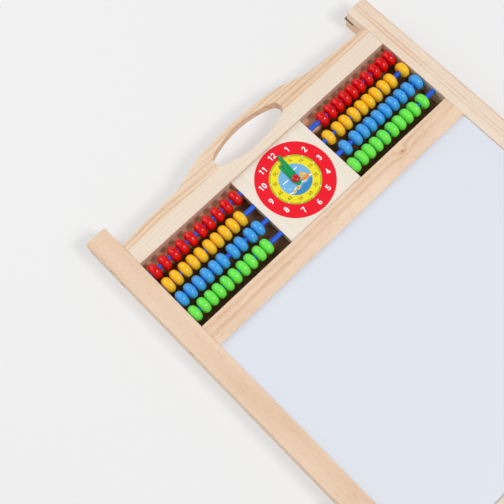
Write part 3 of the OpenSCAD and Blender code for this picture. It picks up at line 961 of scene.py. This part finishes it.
def add_ticks(centre):
    """A thin olive tick for each minute, and a white wedge for each fifth one."""
    inks = [print_ink("ink_tick_olive", DIAL_OLIVE), print_ink("ink_tick_white", WHITE)]
    mesh = bmesh.new()
    for minute in range(60):
        fifth = minute % 5 == 0
        a = math.radians(6 * minute)
        out, across = Vector((math.cos(a), math.sin(a))), Vector((-math.sin(a), math.cos(a)))
        near, far, half = (28.1, 29.9, 0.55) if fifth else (28.5, 29.6, 0.17)
        ends = ((near, half / 2), (near, -half / 2), (far, -half), (far, half))
        corners = [tuple(out * along + across * aside) for along, aside in ends]
        flat_shape(mesh, centre, corners, 1 if fifth else 0)
    face_up(add_piece(mesh, "dial_ticks", "front_frame", inks))


def add_clock():
    low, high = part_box("clock_panel")
    outline = face_loops("clock_panel", Z, HIGH)[0]
    board = slab(outline, Z, low.z, high.z, 0.4 * MM)
    add_piece(
        board, "clock_panel_board", "front_frame", panel_material(), ["clock_panel"],
        weighted=True,
    )

    low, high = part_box("clock_dial")
    pin = (low + high) / 2
    centre = Vector((pin.x, pin.y, high.z))
    add_dial_disc(centre, high.x - pin.x, high.z - low.z)
    add_ticks(centre)
    add_dial_print(centre, PICTURE_R)
    spot = centre + Vector((0, 0, LAYER))
    white = print_ink("ink_numeral_white", WHITE)
    olive = print_ink("ink_numeral_olive", NUMERAL_OLIVE)
    numerals("dial_hour_numerals", 1, 37.9 * MM, 7.2 * MM, spot, white)
    numerals("dial_minute_numerals", 5, 23.6 * MM, 4.1 * MM, spot, olive)

    hand_plastic = moulded("hand_plastic", srgb(0, 152, 80), 0.28)
    for node in ("hour_hand", "minute_hand"):
        add_hand(node, hand_plastic)
    add_knob(moulded("knob_plastic", srgb(200, 22, 28), 0.15))
    add_clock_pin()


def moulded(name, colour, roughness):
    """Moulded plastic."""
    rough = (roughness, roughness + 0.1)
    return coloured(name, colour, (130.0, 700.0, 1600.0), 0.75, 0.15, rough, 0.5, 0.02 * MM, 0.3)


RIDGE_RISE = 0.3 * MM


def add_hand(node, material):
    """A hand on the outline and hole of its CAD node, with a low ridge along its middle."""
    low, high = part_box(node)
    loops = face_loops(node, Z, HIGH)
    shoulder = high.z - RIDGE_RISE
    mesh = slab(loops[0], Z, low.z, shoulder, 0.2 * MM, holes=loops[1:])
    flat = [f for f in mesh.faces if all(abs(v.co.z - shoulder) < 1e-7 for v in f.verts)]
    rim = list({v for f in flat for v in f.verts})
    bmesh.ops.delete(mesh, geom=flat, context="FACES_ONLY")
    edges = [e for e in mesh.edges if len(e.link_faces) == 1 and all(v in set(rim) for v in e.verts)]
    outline, hole = ([Vector((u, v, 0)) for u, v in loop] for loop in loops[:2])
    centre = sum(hole, Vector()) / len(hole)
    pin_r = (hole[0] - centre).length
    tip = max(outline, key=lambda p: (p - centre).length)
    along = (tip - centre).normalized()
    reach = (tip - centre).length
    tail = max(-(p - centre).dot(along) for p in outline)
    inner = pin_r + 0.8 * MM
    ridge = []
    for start, end in ((inner, reach - 1.6 * MM), (-inner, -tail + 1.8 * MM)):
        spots = [centre + along * start, centre + along * end]
        ridge.append([mesh.verts.new((p.x, p.y, high.z)) for p in spots])

    # the flat top is cut into triangles that climb from its rim to the ridge
    verts = rim + [v for pair in ridge for v in pair]
    number = {v: i for i, v in enumerate(verts)}
    links = [[number[v] for v in e.verts] for e in edges] + [[number[v] for v in pair] for pair in ridge]
    flat_co = [Vector((v.co.x, v.co.y)) for v in verts]
    _, _, tiles, origins, _, _ = delaunay_2d_cdt(flat_co, links, [], 1, 1e-8)
    for tile in tiles:
        corners = [verts[origins[i][0]] for i in tile]
        middle = sum((v.co for v in corners), Vector()) / len(corners)
        if (Vector((middle.x, middle.y, 0)) - centre).length > pin_r:
            mesh.faces.new(corners)
    add_piece(mesh, node + "_blade", node, material, [node], sharp=3.0)


def add_knob(material):
    """A low dome on a short skirt."""
    low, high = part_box("clock_knob")
    centre = (low + high) / 2
    centre.z = low.z
    radius, tall = (high.x - low.x) / 2, high.z - low.z
    skirt = 0.35 * MM
    profile = [(0, 0), (radius - skirt, 0), (radius, skirt * 0.6)]
    profile += bow((0, skirt), (radius, tall - skirt), 0, 84, 14) + [(0, tall)]
    mesh = bmesh.new()
    lathe(mesh, profile, centre, Z, 48)
    add_piece(mesh, "clock_knob_dome", "front_frame", material, ["clock_knob"])


def add_clock_pin():
    """The pin with its spread head, and the washer that it holds, behind the panel."""
    steel = metal("pin_steel", srgb(176, 174, 168), 0.3)
    low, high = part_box("clock_pin")
    centre = (low + high) / 2
    centre.z = low.z
    head, shank, tall = (high.x - low.x) / 2, 2.0 * MM, high.z - low.z
    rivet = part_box("clock_washer")[LOW].z - low.z
    profile = [(0, 0), (head * 0.5, 0.06 * MM), (head * 0.85, 0.3 * MM), (head, rivet * 0.7)]
    profile += [(head * 0.97, rivet), (shank, rivet), (shank, tall), (0, tall)]
    mesh = bmesh.new()
    lathe(mesh, profile, centre, Z, 32)
    add_piece(mesh, "clock_pin_rivet", "front_frame", steel, ["clock_pin"])
    low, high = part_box("clock_washer")
    outline = circle(centre, (high.x - low.x) / 2, 48)
    mesh = slab(outline, Z, low.z, high.z, 0.2 * MM, holes=[circle(centre, shank, 48)])
    add_piece(mesh, "clock_pin_washer", "front_frame", steel, ["clock_washer"])


# ---------- metal ----------


def metal(name, colour, roughness, stain=None):
    """Rolled or plated steel with faint scratches; stain is a second colour in soft patches."""
    s = Shader(name)
    patches = s.remap(s.noise(s.spot(), 90.0, 4.0, 0.6), 0.4, 0.7)
    tone = s.mix(patches, colour, stain or darker(colour, 0.8))
    scratch = s.noise(s.stretched(s.place(), 900.0, 60.0, 900.0), 1.0, 2.0)
    rough = s.remap(scratch, 0.3, 0.7, roughness, roughness + 0.18)
    s.bump(scratch, 0.01 * MM, 0.5)
    return s.surface(tone, rough, Metallic=1.0)


def cross(centre, reach, half):
    """Outline of a cross recess, clockwise."""
    u, v = centre
    corner = [(half, reach), (half, half), (reach, half)]
    outline = []
    for _ in range(4):
        outline += [(u + a, v + b) for a, b in corner]
        corner = [(b, -a) for a, b in corner]
    return outline


FRAME_SCREW = {"head_r": 3.8 * MM, "head_t": 1.6 * MM, "shank_r": 1.9 * MM, "ease": 0.15 * MM}
FRAME_SCREW_LENGTH = 44 * MM
STAY_SCREW = {"head_t": 2.0 * MM, "shank_r": 2.0 * MM, "ease": 0.9 * MM}
STAY_SCREW_LENGTH = 18 * MM
SIDES = ((-1, LOW), (1, HIGH))


def add_screws(name, node, body, material, slot, points, head_r, head_t, shank_r, ease):
    """Cross-head screws along X.

    Each point has the head's centre, its outer face, the level of the tip and the end that faces out.
    """
    mesh = bmesh.new()
    for centre, face, tip, end in points:
        inner = face - head_t if end == HIGH else face + head_t
        low, high = min(inner, face), max(inner, face)
        recess = (cross(centre, head_r * 0.55, head_r * 0.14), end, head_t * 0.75)
        slab(circle(centre, head_r, 40)[::-1], X, low, high, ease, pockets=[recess], mesh=mesh)
        shank = [(shank_r, 0), (shank_r, (tip - inner) * 0.92), (0, tip - inner)]
        lathe(mesh, shank, placed(X, centre[0], centre[1], inner), X, 20)
    add_piece(mesh, name, body, material, [node])


def add_frame_screws(material):
    """A screw in each counterbore of the stiles."""
    for frame_name in ("front", "rear"):
        stile = f"{frame_name}_left_stile"
        head_x = abs(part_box(stile)[LOW].x + SINK_DEPTH)
        tip_x = head_x - FRAME_SCREW_LENGTH
        points = []
        for centre, _ in circles(face_loops(stile, X, LOW)[1:], SINK_RADIUS):
            points += [(centre, side * head_x, side * tip_x, end) for side, end in SIDES]
        node, body = frame_name + "_frame_screws", frame_name + "_frame"
        add_screws(frame_name + "_screws", node, body, material, "screw_steel", points, **FRAME_SCREW)


def add_stay_hardware(material):
    """The two stays, the screws that they turn on, and the studs that they catch."""
    for node, body in (("stay_pivot_screws", "rear_frame"), ("stay_studs", "front_frame")):
        low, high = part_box(node)
        centre = ((low.y + high.y) / 2, (low.z + high.z) / 2)
        tip_x = high.x - STAY_SCREW_LENGTH
        points = [(centre, side * high.x, side * tip_x, end) for side, end in SIDES]
        add_screws(node + "_cross_head", node, body, material, "plated_steel", points,
                   head_r=(high.y - low.y) / 2, **STAY_SCREW)
    for node in ("left_stay", "right_stay"):
        low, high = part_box(node)
        loops = face_loops(node, X, HIGH)
        mesh = slab(loops[0], X, low.x, high.x, 0.3 * MM, holes=loops[1:])
        add_piece(mesh, node + "_bar", node, material, [node])


def add_hinge_pins(material):
    """Two pins with domed ends."""
    low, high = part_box("hinge_pins")
    radius = (high.z - low.z) / 2
    mesh = bmesh.new()
    for x_low, x_high in islands("hinge_pins"):
        half = (x_high - x_low) / 2
        dome = bow((0, radius * 0.5 - half), (radius, radius * 0.5), -90, 0, 6)
        profile = dome + [(r, -h) for r, h in reversed(dome)]
        centre = (low + high) / 2
        centre.x = (x_low + x_high) / 2
        lathe(mesh, profile, centre, X, 24)
    add_piece(mesh, "hinge_pin_rods", "rear_frame", material, ["hinge_pins"])


def add_hardware():
    zinc = metal("screw_zinc", srgb(160, 145, 118), 0.34, srgb(120, 100, 74))
    steel = metal("stay_steel", srgb(186, 184, 178), 0.32)
    bronze = metal("hinge_steel", srgb(150, 132, 106), 0.36, srgb(112, 92, 68))
    add_frame_screws(zinc)
    add_stay_hardware(steel)
    for frame_name in ("front", "rear"):
        dress(f"hinge_{frame_name}_screws", zinc)
        for side in ("left", "right"):
            dress(f"hinge_{frame_name}_leaf_{side}", bronze)
    add_hinge_pins(bronze)


# ---------- stage and light ----------

FLOOR_HALF = 12.0
FLOOR_TONES = ((0.415, 0.415, 0.415), (0.425, 0.425, 0.425))
GLOW_FROM, GLOW_TO = 1.0, 3.6   # metres from the object, between which the paper's painted light grows
GLOW_NEAR, GLOW_FAR = 0.445, 0.66
WHITE_LIGHT = (1.0, 1.0, 1.0, 1.0)
LIGHT_TARGET = Vector((0, 0.1, 0.02))
SKY_LEVEL, SKY_OVERHEAD = 0.78, 0.16   # strength of the world's light at eye level and overhead


def add_stage():
    """White paper that gives off painted light of its own, which lightens the shadows cast on it and
    grows away from the object, as the background does.
    """
    corners = [(-1, -1), (1, -1), (1, 1), (-1, 1)]
    mesh = bmesh.new()
    mesh.faces.new(ring(mesh, [(u * FLOOR_HALF, v * FLOOR_HALF, 0) for u, v in corners]))
    floor = finish_mesh(mesh, "floor")
    s = Shader("floor_paper")
    x, y, _ = s.place()
    tone = s.mix(s.noise(s.spot(), 90.0, 3.0), *FLOOR_TONES)
    away = s.math("SQRT", s.plus(s.math("POWER", x, 2.0), s.math("POWER", y, 2.0)))
    # painted light: the paper shines by itself, which softens the shadows on it, and more so far from
    # the object
    painted_glow = s.remap(away, GLOW_FROM, GLOW_TO, GLOW_NEAR, GLOW_FAR, smooth=True)
    paper = s.surface(tone, 0.95, 0.1, Emission_Color=WHITE_LIGHT, Emission_Strength=painted_glow)
    floor.data.materials.append(paper)


def add_light(name, azimuth, elevation, distance, size, power):
    """A square lamp that looks at the object."""
    data = bpy.data.lights.new(name, "AREA")
    data.size = size
    data.energy = power
    lamp = bpy.data.objects.new(name, data)
    bpy.context.scene.collection.objects.link(lamp)
    away = direction(azimuth, elevation)
    turn = (-away).to_track_quat("-Z", "Y").to_matrix().to_4x4()
    lamp.matrix_world = Matrix.Translation(LIGHT_TARGET + away * distance) @ turn


def add_world():
    """A white studio: bright at eye level and dim overhead."""
    world = bpy.data.worlds.new("studio")
    world.use_nodes = True
    tree = world.node_tree
    way = tree.nodes.new("ShaderNodeTexCoord")
    split = tree.nodes.new("ShaderNodeSeparateXYZ")
    fade = tree.nodes.new("ShaderNodeMapRange")
    tree.links.new(way.outputs["Generated"], split.inputs[0])
    tree.links.new(split.outputs[Z], fade.inputs["Value"])
    fade.inputs["To Min"].default_value = SKY_LEVEL
    fade.inputs["To Max"].default_value = SKY_OVERHEAD
    background = tree.nodes["Background"]
    background.inputs["Color"].default_value = WHITE_LIGHT
    tree.links.new(fade.outputs[0], background.inputs["Strength"])
    bpy.context.scene.world = world
    bpy.context.scene.view_settings.view_transform = "Standard"


def build():
    add_camera()
    add_frames()
    add_boards()
    add_abacus()
    add_clock()
    add_hardware()
    add_stage()
    add_world()
    add_light("key", 21, 55, 3.0, 0.9, 45.5)
    add_light("fill", 203, 34, 2.2, 1.5, 17.5)
    add_light("top", 210, 70, 2.0, 0.34, 3.0)


build()
